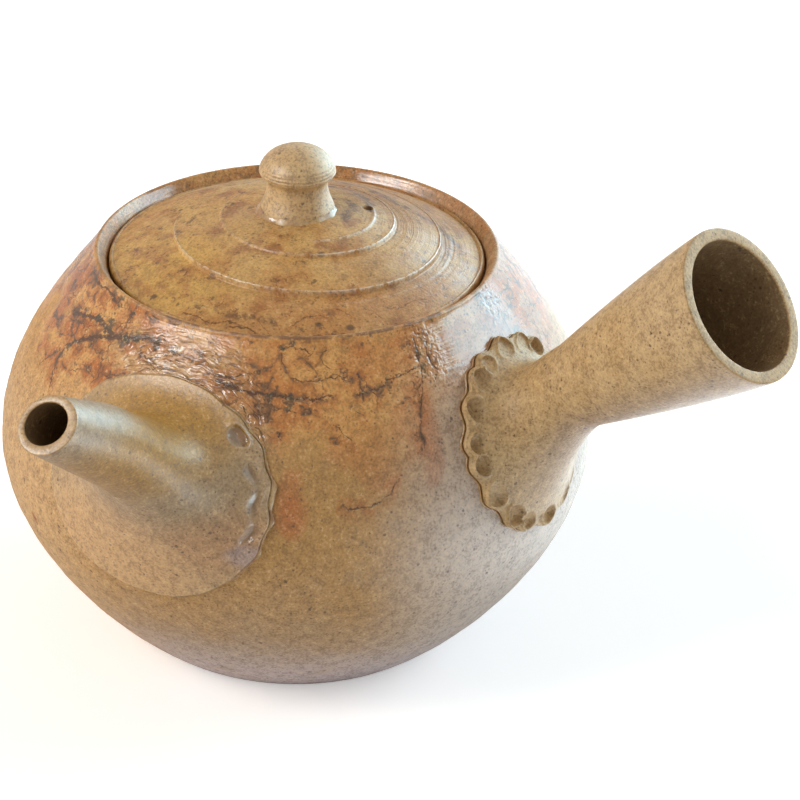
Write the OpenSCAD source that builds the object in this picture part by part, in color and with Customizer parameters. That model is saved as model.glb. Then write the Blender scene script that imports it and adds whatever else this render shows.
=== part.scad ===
// Side-handled stoneware teapot: a thrown pot with a spout, a strainer, a hollow handle and a loose lid.
// Sizes are in millimetres. The origin is the centre of the foot, +Z is up and the handle leaves along +X.

/* [Pot] */
// widest diameter of the pot
body_d = 114; // [108:1:120]
// diameter of the flat foot
foot_d = 63.8; // [58:0.2:70]
// outside diameter at the top of the rim
rim_d = 75.7; // [73:0.1:78]
// height of the rim
rim_h = 78.3; // [75:0.1:82]
// height of the widest place
belly_h = 39.4; // [36:0.1:43]
// slope of the wall where it leaves the foot, degrees
foot_slope = 36.4; // [30:0.1:42]
// slope of the shoulder where it meets the rim, degrees
rim_slope = 54.3; // [50:0.1:58]
// thickness of the wall
wall = 3; // [2.4:0.1:3.6]
// thickness of the floor
floor_t = 4; // [3:0.1:5]

/* [Lid seat] */
// diameter of the hole that the lid's skirt drops into
throat_d = 63; // [60:0.2:64]
// depth of the ledge below the top of the rim
seat_depth = 4.7; // [4:0.1:5.4]
// thickness of the ledge
ledge_t = 2.6; // [2:0.1:3]
// gap between the lid and the pot, under it and around its skirt
lid_gap = 0.35; // [0.3:0.05:0.6]

/* [Lid] */
// height of the lid's edge
lid_edge_t = 2.6; // [2.2:0.1:3]
// rise of the dome from its edge to the knob
dome_rise = 9.2; // [7:0.1:11]
// thickness of the dome
lid_t = 3.2; // [2.6:0.1:3.8]
// depth of the skirt
skirt_h = 8; // [5:0.1:10]
// thickness of the skirt
skirt_t = 2.4; // [2:0.1:3]
// radius of the inner turned ring
ring_in_r = 16.7; // [15:0.1:18]
// radius of the outer turned ring
ring_out_r = 25.5; // [23:0.1:27]
// step at each ring
ring_step = 0.35; // [0.2:0.05:0.6]
// diameter of the vent hole
vent_d = 2.2; // [1.6:0.1:3]
// distance of the vent hole from the middle of the lid
vent_r = 13.5; // [11:0.1:14]
// turn of the vent hole from the handle, degrees
vent_turn = 46; // [0:1:359]

/* [Knob] */
// diameter of the knob's foot
knob_foot_d = 14.4; // [13:0.1:16]
// diameter of the knob's neck
knob_neck_d = 11.5; // [10:0.1:12.5]
// diameter of the knob's cap
knob_cap_d = 14; // [13:0.1:16]
// height of the knob
knob_h = 12.8; // [11.5:0.1:15]

/* [Handle] */
// depth of the middle of the handle's flange below the rim
handle_drop = 23; // [21:0.1:26]
// height of the handle's axis above the middle of its flange, where it meets the wall
handle_rise = 3.5; // [1:0.1:5]
// slope of the handle, degrees
handle_slope = 39; // [35:0.5:43]
// length of the handle from the pot to its mouth
handle_l = 54.6; // [48:0.2:64]
// outside diameter at the handle's mouth
handle_mouth_d = 29; // [26:0.1:31]
// outside diameter at the handle's neck
handle_neck_d = 16.2; // [15:0.1:18]
// thickness of the handle's wall
handle_wall = 2.3; // [1.8:0.1:2.8]
// length of the flare from the pot to the handle's neck
handle_neck_l = 15; // [13:0.5:18]
// diameter of the handle's flange
handle_flange_d = 38; // [35:0.2:41]
// number of dimples pressed around the handle's flange
dimples = 22; // [16:1:24]
// radius of the tool that presses a dimple
dimple_r = 2.6; // [2.2:0.1:3]
// depth of a dimple
dimple_depth = 1; // [0.6:0.1:1.2]

/* [Spout] */
// turn of the spout from the handle, degrees
spout_turn = -84.3; // [-95:0.1:-80]
// height of the middle of the spout's mouth above the rim
mouth_rise = 1.9; // [0:0.1:5]
// distance of the spout's mouth from the middle of the pot
spout_reach = 85.5; // [82:0.1:90]
// height of the spout's axis above the middle of its flange, where it meets the wall
spout_rise = 3.9; // [2:0.1:5]
// slope that the mouth faces, degrees
mouth_slope = 50; // [44:0.5:56]
// diameter of the bore at the spout's mouth
spout_bore_d = 7.8; // [6.6:0.1:9]
// thickness of the spout's wall
spout_wall = 1.9; // [1.6:0.1:2.4]
// diameter of the spout where it runs into its flange
spout_foot_d = 21; // [19:0.2:23]
// length of the spout between its mouth and its flare
spout_tube_l = 25; // [22:0.5:28]
// diameter of the spout's flange
spout_flange_d = 45; // [42:0.2:47]
// depth of the middle of the spout's flange below the rim
spout_drop = 26.1; // [24:0.1:28]

/* [Strainer] */
// diameter of the tea hole in the wall behind the spout
tea_hole_d = 24; // [20:0.2:26]
// outside diameter of the strainer's dome
strainer_d = 36; // [34:0.2:38]
// thickness of the strainer
strainer_t = 2.2; // [1.8:0.1:2.6]
// diameter of one strainer hole
pierce_d = 2; // [1.4:0.1:2.2]
// rings of holes around the middle one
pierce_rings = 4; // [2:1:4]

/* [Joints of slip] */
// thickness of the slip
slip_t = 0.3; // [0.25:0.05:0.4]
// width that the slip shows beyond a flange
slip_bead = 0.6; // [0.4:0.1:1]
// thickness of a flange at its edge
flange_t = 1.7; // [1.4:0.1:2]

/* [Hidden] */
$fn = 96;

body_r = body_d / 2;
foot_r = foot_d / 2;
rim_r = rim_d / 2;
throat_r = throat_d / 2;
seat_z = rim_h - seat_depth;
// the rim's inner wall, and the lid that drops inside it
well_r = rim_r - 1.9;
lid_r = well_r - lid_gap;
lid_z = seat_z + lid_gap;
edge_z = lid_z + lid_edge_t;
pad_z = edge_z + dome_rise;
knob_z = pad_z + slip_t;
skirt_r = throat_r - lid_gap;
handle_flange_h = rim_h - handle_drop;
handle_h = handle_flange_h + handle_rise;
spout_flange_h = rim_h - spout_drop;
spout_mouth_h = rim_h + mouth_rise;
steps = 10;

// the pot's wall: one curve from the foot to the widest place and one from there to the rim
low_curve = [
    [foot_r, 0],
    [foot_r + 0.286 * belly_h * cos(foot_slope), 0.286 * belly_h * sin(foot_slope)],
    [body_r, 0.612 * belly_h],
    [body_r, belly_h]
];
rise = rim_h - belly_h;
high_curve = [
    [body_r, belly_h],
    [body_r, belly_h + 0.435 * rise],
    [rim_r + 0.328 * rise * cos(rim_slope), rim_h - 0.328 * rise * sin(rim_slope)],
    [rim_r, rim_h]
];

function bez(c, t) =
    pow(1 - t, 3) * c[0] + 3 * t * pow(1 - t, 2) * c[1] + 3 * t * t * (1 - t) * c[2] + t * t * t * c[3];
function bez_way(c, t) =
    pow(1 - t, 2) * (c[1] - c[0]) + 2 * t * (1 - t) * (c[2] - c[1]) + t * t * (c[3] - c[2]);
function unit(v) = v / norm(v);
// a point of a curve, moved out along its normal
function shifted(c, t, out) =
    let (w = unit(bez_way(c, t)))
    bez(c, t) + out * [w[1], -w[0]];
function side(out) = concat(
    [for (i = [0 : steps - 1]) shifted(low_curve, i / steps, out)],
    [for (i = [0 : steps]) shifted(high_curve, i / steps, out)]);
function reversed(list) = [for (i = [len(list) - 1 : -1 : 0]) list[i]];

// where the wall's outside is at a height, and the slope of its normal there
function climb(h, low = 0, high = 1, turns = 24) =
    let (mid = (low + high) / 2)
    turns == 0 ? mid
        : bez(high_curve, mid)[1] < h ? climb(h, mid, high, turns - 1) : climb(h, low, mid, turns - 1);
function wall_r(h) = bez(high_curve, climb(h))[0];
function wall_slope(h) =
    let (w = bez_way(high_curve, climb(h)))
    atan2(-w[0], w[1]);

// how fast the wall falls away from its tangent plane, in a direction turned from straight down
function wall_bend(a) = pow(cos(a), 2) / (2 * belly_h) + pow(sin(a), 2) / (2 * body_r);

// puts local +Z on a line that climbs at a slope from a point out along +X
module aim(r, h, slope) {
    translate([r, 0, h])
        rotate([0, 90 - slope, 0])
            children();
}

// the pot's outside as a solid, grown by a distance
module pot_mass(out) {
    rotate_extrude()
        polygon(concat([[0, 0.5 * out]], [[foot_r, 0.5 * out]], [for (p = side(out)) if (p[1] > out) p],
            [[0, rim_h]]));
}

// a patch of the pot's skin, cut out by a round tool square to the wall
module skin_patch(h, r, inner, outer) {
    difference() {
        intersection() {
            pot_mass(outer);
            aim(wall_r(h), h, wall_slope(h))
                translate([0, 0, -16])
                    cylinder(r = r, h = 24);
        }
        pot_mass(inner);
    }
}

// a flare from a flange at a height on the wall to a ring at an offset from the flange's middle:
// rings square to the wall that drift up as they leave it
module flare(h, lift, from_r, to_r) {
    slope = wall_slope(h);
    out = lift * [cos(slope), sin(slope)];
    up = lift * [-sin(slope), cos(slope)];
    aim(wall_r(h), h, slope)
        multmatrix([[1, 0, -up / out, 0], [0, 1, 0, 0], [0, 0, 1, 0], [0, 0, 0, 1]])
            rotate_extrude()
                polygon(concat(
                    [[0, -12], [from_r - 10 * up / out, -12]],
                    [for (m = [0, 0.08, 0.16, 0.25, 0.36, 0.5, 0.7, 1])
                        [to_r + (from_r - to_r) * pow(1 - m, 2.2), -2 + (out + 2) * m]],
                    [[0, out]]));
}

/* Pot */

inside = [for (p = side(-wall)) if (p[1] > floor_t + 0.5 && p[1] < seat_z - ledge_t - 0.4) p];

module pot_body() {
    color([0.72, 0.56, 0.38])
        difference() {
            rotate_extrude()
                polygon(concat(
                    [[0, 0], [foot_r - 0.6, 0]],
                    [for (p = side(0)) if (p[1] > 0.5) p],
                    [[rim_r - 0.35, rim_h + 0.3], [rim_r - 0.9, rim_h + 0.2], [well_r + 0.45, rim_h - 0.8],
                        [well_r, rim_h - 2], [well_r, seat_z], [throat_r, seat_z],
                        [throat_r, seat_z - ledge_t]],
                    reversed(inside),
                    [[inside[0][0] - 2, floor_t], [0, floor_t]]));
            rotate([0, 0, spout_turn])
                tea_hole(-20, 12);
        }
}

// the hole through the wall, from one place on its axis to another
module tea_hole(from, to) {
    aim(wall_r(spout_flange_h), spout_flange_h, wall_slope(spout_flange_h))
        translate([0, 0, from])
            cylinder(d = tea_hole_d, h = to - from);
}

/* Spout */

// the spout's axis runs from above the middle of its flange to the middle of its mouth
spout_out = spout_reach - wall_r(spout_flange_h);
spout_slope = atan2(spout_mouth_h - spout_flange_h - spout_rise, spout_out);
// measured along that axis, from the mouth back into the pot's wall
spout_l = spout_out / cos(spout_slope) + spout_foot_d * 0.37;
spout_tip_r = spout_bore_d / 2 + spout_wall;
function spout_r(t) = spout_tip_r + (spout_foot_d / 2 - spout_tip_r) * pow(t, 1.15);

// a cone along the spout's axis whose wall is drawn in by a distance, running past both ends
module spout_cone(inset, over) {
    aim(spout_reach, spout_mouth_h, spout_slope)
        rotate_extrude()
            polygon(concat(
                [[0, -spout_l - over], [spout_r(1) - inset, -spout_l - over]],
                [for (i = [8 : -1 : 0]) [spout_r(i / 8) - inset, -spout_l * i / 8]],
                [[spout_tip_r - inset, 12], [0, 12]]));
}

// from the middle of the flange to the place on the spout's axis where its flare starts, out and up
spout_lift = [
    spout_out - spout_tube_l * cos(spout_slope),
    spout_mouth_h - spout_tube_l * sin(spout_slope) - spout_flange_h
];
spout_neck_r = spout_r(spout_tube_l / spout_l) - 0.25 * spout_wall;

// what the tea runs through: a flare inside the flange and the bore of the cone
module spout_bore() {
    difference() {
        spout_cone(spout_wall, 0);
        pot_mass(flange_t);
    }
    flare(spout_flange_h, spout_lift, tea_hole_d / 2 + spout_wall, spout_neck_r - spout_wall);
}

module spout() {
    color([0.72, 0.57, 0.38])
        rotate([0, 0, spout_turn])
            difference() {
                union() {
                    spout_cone(0, 0);
                    flare(spout_flange_h, spout_lift, spout_flange_d / 2 - 2.5, spout_neck_r);
                    skin_patch(spout_flange_h, spout_flange_d / 2, -0.5, flange_t);
                }
                spout_bore();
                pot_mass(slip_t);
                aim(spout_reach, spout_mouth_h, mouth_slope)
                    cylinder(r = spout_flange_d, h = spout_flange_d);
            }
}

module spout_slip() {
    color([0.62, 0.55, 0.50])
        rotate([0, 0, spout_turn])
            difference() {
                skin_patch(spout_flange_h, spout_flange_d / 2 + slip_bead, 0, slip_t);
                tea_hole(-wall, flange_t + wall);
            }
}

/* Strainer */

// everything above the place where the wall runs into the lid's ledge
module above_wall(down) {
    translate([0, 0, inside[len(inside) - 1][1] - down])
        cylinder(r = body_r, h = rim_h);
}

module strainer_ball(r) {
    aim(wall_r(spout_flange_h), spout_flange_h, wall_slope(spout_flange_h))
        translate([0, 0, -wall])
            sphere(r = r);
}

module pierces() {
    aim(wall_r(spout_flange_h), spout_flange_h, wall_slope(spout_flange_h))
        translate([0, 0, -wall])
            for (ring = [0 : pierce_rings])
                for (i = [0 : max(0, 6 * ring - 1)])
                    rotate([0, 0, i * 60 / max(1, ring)])
                        rotate([0, 180 - 13 * ring, 0])
                            translate([0, 0, strainer_d / 2 - strainer_t - 1])
                                cylinder(d = pierce_d, h = strainer_t + 2);
}

module strainer() {
    color([0.68, 0.53, 0.37])
        rotate([0, 0, spout_turn])
            difference() {
                intersection() {
                    strainer_ball(strainer_d / 2);
                    pot_mass(-wall - slip_t);
                }
                strainer_ball(strainer_d / 2 - strainer_t);
                above_wall(slip_t);
                pierces();
            }
}

module strainer_slip() {
    color([0.62, 0.55, 0.50])
        rotate([0, 0, spout_turn])
            difference() {
                intersection() {
                    strainer_ball(strainer_d / 2 + slip_bead);
                    pot_mass(-wall);
                }
                strainer_ball(strainer_d / 2 - strainer_t);
                above_wall(0);
                pot_mass(-wall - slip_t);
            }
}

/* Handle */

function handle_r(t) =
    handle_mouth_d / 2 - (handle_mouth_d - handle_neck_d) / 2 * pow((handle_l - t) / (handle_l - handle_neck_l), 1.25);

// the tube's profile, drawn in by a distance; below the neck it keeps the neck's size
module handle_tube(inset, start, over) {
    aim(wall_r(handle_h), handle_h, handle_slope)
        rotate_extrude()
            polygon(concat(
                [[0, start], [handle_neck_d / 2 - inset, start]],
                [for (i = [0 : 8])
                    let (t = handle_neck_l + (handle_l - handle_neck_l) * i / 8)
                    [handle_r(t) - inset, t]],
                over > 0 ? [[handle_mouth_d / 2 - inset, handle_l + over], [0, handle_l + over]]
                    : [[0, handle_l]]));
}

// from the middle of the flange to the middle of the tube's neck, out and up
handle_lift = [
    wall_r(handle_h) + handle_neck_l * cos(handle_slope) - wall_r(handle_flange_h),
    handle_h + handle_neck_l * sin(handle_slope) - handle_flange_h
];

// dimples pressed around the flange, just inside its edge; they follow the wall as it curves away
module handle_dimples() {
    row_r = handle_flange_d / 2 - 0.92 * dimple_r;
    aim(wall_r(handle_flange_h), handle_flange_h, wall_slope(handle_flange_h))
        for (i = [0 : dimples - 1])
            let (a = 360 * (i + 0.5) / dimples)
                rotate([0, 0, a])
                    translate([row_r, 0, flange_t + dimple_r - dimple_depth - row_r * row_r * wall_bend(a)])
                        sphere(r = dimple_r);
}

module handle() {
    color([0.74, 0.58, 0.39])
        difference() {
            union() {
                handle_tube(0, -6, 0);
                flare(handle_flange_h, handle_lift, handle_flange_d / 2 - 2.5, handle_neck_d / 2 + 0.3);
                skin_patch(handle_flange_h, handle_flange_d / 2, -0.5, flange_t);
            }
            handle_tube(handle_wall, -8, 1);
            pot_mass(slip_t);
            handle_dimples();
        }
}

module handle_slip() {
    color([0.62, 0.55, 0.50])
        difference() {
            skin_patch(handle_flange_h, handle_flange_d / 2 + slip_bead, 0, slip_t);
            handle_tube(handle_wall, -8, 1);
        }
}

/* Lid */

// height of the dome's top at a distance from the middle, with a step down outside each ring
function dome_z(r) = edge_z + dome_rise * (1 - pow(r / lid_r, 2));
function dome_top(r) = [r, dome_z(r)];
function ring_edge(r) = [[r, dome_z(r) + ring_step / 2], [r + ring_step, dome_z(r + ring_step) - ring_step / 2]];

module lid() {
    pad_r = knob_foot_d / 2;
    under_r = skirt_r - skirt_t;
    color([0.70, 0.50, 0.32])
        difference() {
            rotate_extrude()
                polygon(concat(
                    [[0, pad_z], [pad_r, pad_z]],
                    [dome_top(pad_r + 0.7 * (ring_in_r - pad_r) / 2), dome_top(pad_r + 0.75 * (ring_in_r - pad_r))],
                    ring_edge(ring_in_r),
                    [dome_top(ring_in_r + 0.4 * (ring_out_r - ring_in_r)),
                        dome_top(ring_in_r + 0.75 * (ring_out_r - ring_in_r))],
                    ring_edge(ring_out_r),
                    [dome_top(ring_out_r + 0.4 * (lid_r - ring_out_r)),
                        dome_top(ring_out_r + 0.75 * (lid_r - ring_out_r))],
                    [[lid_r - 0.5, edge_z + 0.1], [lid_r, edge_z - 0.5], [lid_r, lid_z], [skirt_r, lid_z],
                        [skirt_r, lid_z - skirt_h], [under_r, lid_z - skirt_h]],
                    [for (i = [5 : -1 : 0]) [under_r * i / 5, dome_z(under_r * i / 5) - lid_t]]));
            rotate([0, 0, vent_turn])
                translate([vent_r, 0, lid_z])
                    cylinder(d = vent_d, h = dome_rise + lid_edge_t + 2);
        }
}

/* Knob */

module knob() {
    cap_z = knob_z + 0.7 * knob_h;
    neck_z = knob_z + 0.45 * knob_h;
    color([0.73, 0.57, 0.38])
        rotate_extrude()
            polygon(concat(
                [[0, knob_z]],
                [for (i = [0 : 6]) bez([[knob_foot_d / 2, knob_z], [knob_neck_d / 2 + 0.3, knob_z + 0.9],
                    [knob_neck_d / 2, neck_z - 2], [knob_neck_d / 2, neck_z]], i / 6)],
                [[knob_cap_d / 2 - 0.5, cap_z - 0.7], [knob_cap_d / 2, cap_z]],
                [for (a = [15 : 15 : 75]) [knob_cap_d / 2 * cos(a), cap_z + 0.3 * knob_h * sin(a)]],
                [[0, knob_z + knob_h]]));
}

module knob_slip() {
    color([0.62, 0.55, 0.50])
        translate([0, 0, pad_z])
            cylinder(d = knob_foot_d - 0.4, h = slip_t);
}

pot_body();
spout();
spout_slip();
strainer();
strainer_slip();
handle();
handle_slip();
lid();
knob();
knob_slip();
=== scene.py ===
"""A side-handled teapot of unglazed stoneware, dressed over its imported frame.

Lengths in this file are millimetres until a mesh is made, where they become metres.
A turn is an angle round the pot's upright axis, counted from the side that the photograph shows.
"""
import math

import bpy
import numpy as np
from mathutils import Matrix


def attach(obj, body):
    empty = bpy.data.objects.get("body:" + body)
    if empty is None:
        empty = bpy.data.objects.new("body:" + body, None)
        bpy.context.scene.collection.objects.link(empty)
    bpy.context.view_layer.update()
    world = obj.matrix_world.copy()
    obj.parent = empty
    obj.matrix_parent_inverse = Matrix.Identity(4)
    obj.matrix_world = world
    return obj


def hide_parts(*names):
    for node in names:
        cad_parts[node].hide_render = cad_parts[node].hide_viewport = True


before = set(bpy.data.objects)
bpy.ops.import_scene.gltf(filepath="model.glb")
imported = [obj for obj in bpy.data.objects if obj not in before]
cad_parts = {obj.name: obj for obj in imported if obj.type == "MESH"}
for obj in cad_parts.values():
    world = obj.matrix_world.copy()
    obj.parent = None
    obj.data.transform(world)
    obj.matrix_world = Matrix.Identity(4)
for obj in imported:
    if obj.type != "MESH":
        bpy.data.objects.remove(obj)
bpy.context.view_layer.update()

MM = 0.001
PHOTO_SIDE = -54.8                      # bearing of the photographed side, degrees from +X

# sizes of the pot
BELLY_R, BELLY_H = 57.0, 39.4
FOOT_R, FOOT_SLOPE = 31.9, math.radians(36.4)
RIM_R, RIM_H, RIM_SLOPE = 37.85, 78.3, math.radians(54.3)
WALL, FLOOR = 3.0, 4.0
WELL_R, THROAT_R, SEAT_Z = 35.95, 31.5, 73.6
SLIP = 0.3
# of the spout and the handle
SPOUT_BEARING, SPOUT_FLANGE_H, TEA_HOLE_R = math.radians(-84.3), 52.2, 12.0
SPOUT_SLOPE, SPOUT_CUT, SPOUT_REACH, SPOUT_MOUTH_H = math.radians(37.95), math.radians(50), 85.5, 80.2
SPOUT_FLANGE = (23.0, 20.6)             # half width and half height along the wall
HANDLE_FLANGE_H, HANDLE_H, HANDLE_SLOPE = 55.3, 58.8, math.radians(39)
HANDLE_L, HANDLE_NECK, THUMB_MARKS = 54.6, 15.0, 18
# of the lid and the knob
LID_R, LID_Z, LID_EDGE_Z, DOME, LID_T = 35.6, 73.95, 76.55, 9.2, 3.2
SKIRT_R, SKIRT_IN_R = 31.15, 28.75
VENT_R, VENT_FROM_MIDDLE, VENT_BEARING = 1.1, 13.5, math.radians(46)
RING_LEAN = math.radians(PHOTO_SIDE + 90)
KNOB_Z, KNOB_TALL = 86.05, 12.8
# points in a ring of each kind of mesh
TUBE_AROUND, WIDE_AROUND, KNOB_AROUND = 440, 320, 160


# curves and the pot's wall

def bezier(corners, t):
    """Points of a cubic curve: the four corners weighted by the binomial powers of t and 1 - t."""
    t = np.asarray(t, float)[..., None]
    a, b, c, d = (np.asarray(p, float) for p in corners)
    return (1 - t) ** 3 * a + 3 * t * (1 - t) ** 2 * b + 3 * t * t * (1 - t) * c + t ** 3 * d


def bend(corners, count, first=1):
    """A cubic curve in a profile at even steps, left off before its first point."""
    return bezier(corners, np.linspace(0, 1, count)[first:])


def ease(x, low, high):
    """0 below low, 1 above high and a smooth cubic step between; low may be the larger of the two."""
    q = np.clip((np.asarray(x, float) - low) / (high - low), 0, 1)
    return q * q * (3 - 2 * q)


def bump(x, middle, half):
    """A smooth hump: e to the minus square of the distance from the middle over half."""
    return np.exp(-((x - middle) / half) ** 2)


def wave(x, length, shift=0.0):
    """A sine wave of a length, with a shift in radians."""
    return np.sin(2 * np.pi * x / length + shift)


def half_turn(angle):
    """An angle brought between minus and plus half a turn."""
    return np.mod(angle + np.pi, 2 * np.pi) - np.pi


def pair(first, second):
    """Two columns side by side, such as radius and height."""
    return np.stack(np.broadcast_arrays(first, second), -1)


def polar(points):
    """The distance of points from the upright axis and their bearing."""
    return np.hypot(points[..., 0], points[..., 1]), np.arctan2(points[..., 1], points[..., 0])


def wall_outline():
    """The wall's outside from the foot to the rim as radius, height and way along it: two cubic curves that meet
    upright at the widest place."""
    rise = RIM_H - BELLY_H
    low = [[FOOT_R, 0],
           [FOOT_R + 0.286 * BELLY_H * math.cos(FOOT_SLOPE), 0.286 * BELLY_H * math.sin(FOOT_SLOPE)],
           [BELLY_R, 0.612 * BELLY_H], [BELLY_R, BELLY_H]]
    high = [[BELLY_R, BELLY_H], [BELLY_R, BELLY_H + 0.435 * rise],
            [RIM_R + 0.328 * rise * math.cos(RIM_SLOPE), RIM_H - 0.328 * rise * math.sin(RIM_SLOPE)],
            [RIM_R, RIM_H]]
    line = np.vstack([bend(low, 700, 0)[:-1], bend(high, 700, 0)])
    way = np.concatenate([[0], np.cumsum(np.hypot(*np.diff(line, axis=0).T))])
    return line[:, 0], line[:, 1], way


WALL_R, WALL_Z, WALL_S = wall_outline()
_slope = np.stack([np.gradient(WALL_Z, WALL_S), -np.gradient(WALL_R, WALL_S)])
WALL_NR, WALL_NZ = _slope / np.hypot(*_slope)
RIM_S = WALL_S[-1]


def way_at(height):
    """How far along the wall's outside a height is, measured from the foot."""
    return np.interp(height, WALL_Z, WALL_S)


def wall_r(way):
    """The wall's radius at a way along it."""
    return np.interp(way, WALL_S, WALL_R)


def wall_profile(way, out=0.0):
    """Radius and height at a way along the wall and a distance out from it along its normal."""
    return pair(wall_r(way) + out * np.interp(way, WALL_S, WALL_NR),
                np.interp(way, WALL_S, WALL_Z) + out * np.interp(way, WALL_S, WALL_NZ))


def off_wall(places):
    """Points from places given as bearing, way along the wall and distance out."""
    bearing, way, out = np.moveaxis(places, -1, 0)
    r, z = np.moveaxis(wall_profile(way, out), -1, 0)
    return np.stack([r * np.cos(bearing), r * np.sin(bearing), z], -1)


def wall_place(points):
    """The bearing, way and distance out of points outside the wall: the nearest place of the outline in each
    point's own upright plane."""
    (r, bearing), z = polar(points), points[..., 2]
    near = np.argmin((r[..., None] - WALL_R) ** 2 + (z[..., None] - WALL_Z) ** 2, -1)
    out = (r - WALL_R[near]) * WALL_NR[near] + (z - WALL_Z[near]) * WALL_NZ[near]
    return np.stack([bearing, WALL_S[near], out], -1)


# meshes

def skin(name, rows, ends="poles", **marks):
    """A closed mesh over a grid of points: rows of rings, joined round each ring and from row to row. Its two ends
    close in a pole each, or the last row joins the first. A mark is a value per point, kept as an attribute."""
    count, around = rows.shape[:2]
    points = rows.reshape(-1, 3)
    ring = np.arange(around)
    step = np.roll(ring, -1)
    base = np.arange(count if ends == "loop" else count - 1)[:, None] * around
    above = (base + around) % (count * around)
    quads = np.stack([base + ring, base + step, above + step, above + ring], -1).reshape(-1, 4)
    loops, totals = [quads.ravel()], [np.full(len(quads), 4)]
    if ends == "poles":
        first, last = len(points), len(points) + 1
        points = np.vstack([points, rows[0].mean(0), rows[-1].mean(0)])
        top = (count - 1) * around
        fans = np.vstack([np.stack([np.full(around, first), step, ring], -1),
                          np.stack([np.full(around, last), top + ring, top + step], -1)])
        loops.append(fans.ravel())
        totals.append(np.full(len(fans), 3))
    loops, totals = np.concatenate(loops), np.concatenate(totals)
    starts = np.concatenate([[0], np.cumsum(totals)[:-1]])
    fan = points[quads]
    facing = np.cross(fan[:, 2] - fan[:, 0], fan[:, 3] - fan[:, 1])
    if np.einsum("ij,ij->i", fan[:, 0], facing).sum() < 0:      # the faces look inwards, so their corners run back
        owner = np.repeat(np.arange(len(totals)), totals)
        spot = np.arange(len(loops)) - starts[owner]
        loops = loops[starts[owner] + (totals[owner] - spot) % totals[owner]]
    mesh = bpy.data.meshes.new(name)
    mesh.vertices.add(len(points))
    mesh.vertices.foreach_set("co", (points * MM).astype(np.float32).ravel())
    mesh.loops.add(len(loops))
    mesh.loops.foreach_set("vertex_index", loops.astype(np.int32))
    mesh.polygons.add(len(totals))
    mesh.polygons.foreach_set("loop_start", starts.astype(np.int32))
    mesh.update(calc_edges=True)
    mesh.polygons.foreach_set("use_smooth", np.ones(len(totals), bool))
    for label, value in marks.items():
        flat = np.zeros(len(points), np.float32)
        flat[:count * around] = np.broadcast_to(value, (count, around)).ravel()
        mesh.attributes.new(label, "FLOAT", "POINT").data.foreach_set("value", flat)
    mesh.validate()
    piece = bpy.data.objects.new(name, mesh)
    bpy.context.scene.collection.objects.link(piece)
    return piece


def turned(profile, around, lean=None):
    """Rings about the upright axis from a profile of (radius, height) rows; lean moves each row's middle by (x, y)."""
    a = np.linspace(0, 2 * np.pi, around, endpoint=False)
    r, z = profile[:, :1], profile[:, 1:]
    x, y = r * np.cos(a), r * np.sin(a)
    if lean is not None:
        x, y = x + lean[:, :1], y + lean[:, 1:]
    return np.stack([x, y, np.broadcast_to(z, x.shape)], -1)


def pierce(piece, middle, way, radius, length):
    """Cuts a round hole through a piece, along a direction from a middle point, and applies the cut."""
    way = np.asarray(way, float) / np.linalg.norm(way)
    side = np.cross(way, [0.3, 0.5, 0.8])
    side /= np.linalg.norm(side)
    a = np.linspace(0, 2 * np.pi, 48, endpoint=False)[:, None]
    rim = radius * (np.cos(a) * side + np.sin(a) * np.cross(way, side))
    cutter = skin("cutter", np.stack([middle + rim - way * length / 2, middle + rim + way * length / 2]))
    cut = piece.modifiers.new("hole", "BOOLEAN")
    cut.operation, cut.solver, cut.object = "DIFFERENCE", "EXACT", cutter
    made = bpy.data.meshes.new_from_object(piece.evaluated_get(bpy.context.evaluated_depsgraph_get()))
    piece.modifiers.clear()
    old, piece.data = piece.data, made
    made.name = old.name.split(".")[0] + "_pierced"
    bpy.data.meshes.remove(old)
    bpy.data.objects.remove(cutter)


# pot

SPOUT_WAY, HANDLE_WAY = float(way_at(SPOUT_FLANGE_H)), float(way_at(HANDLE_FLANGE_H))


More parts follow.
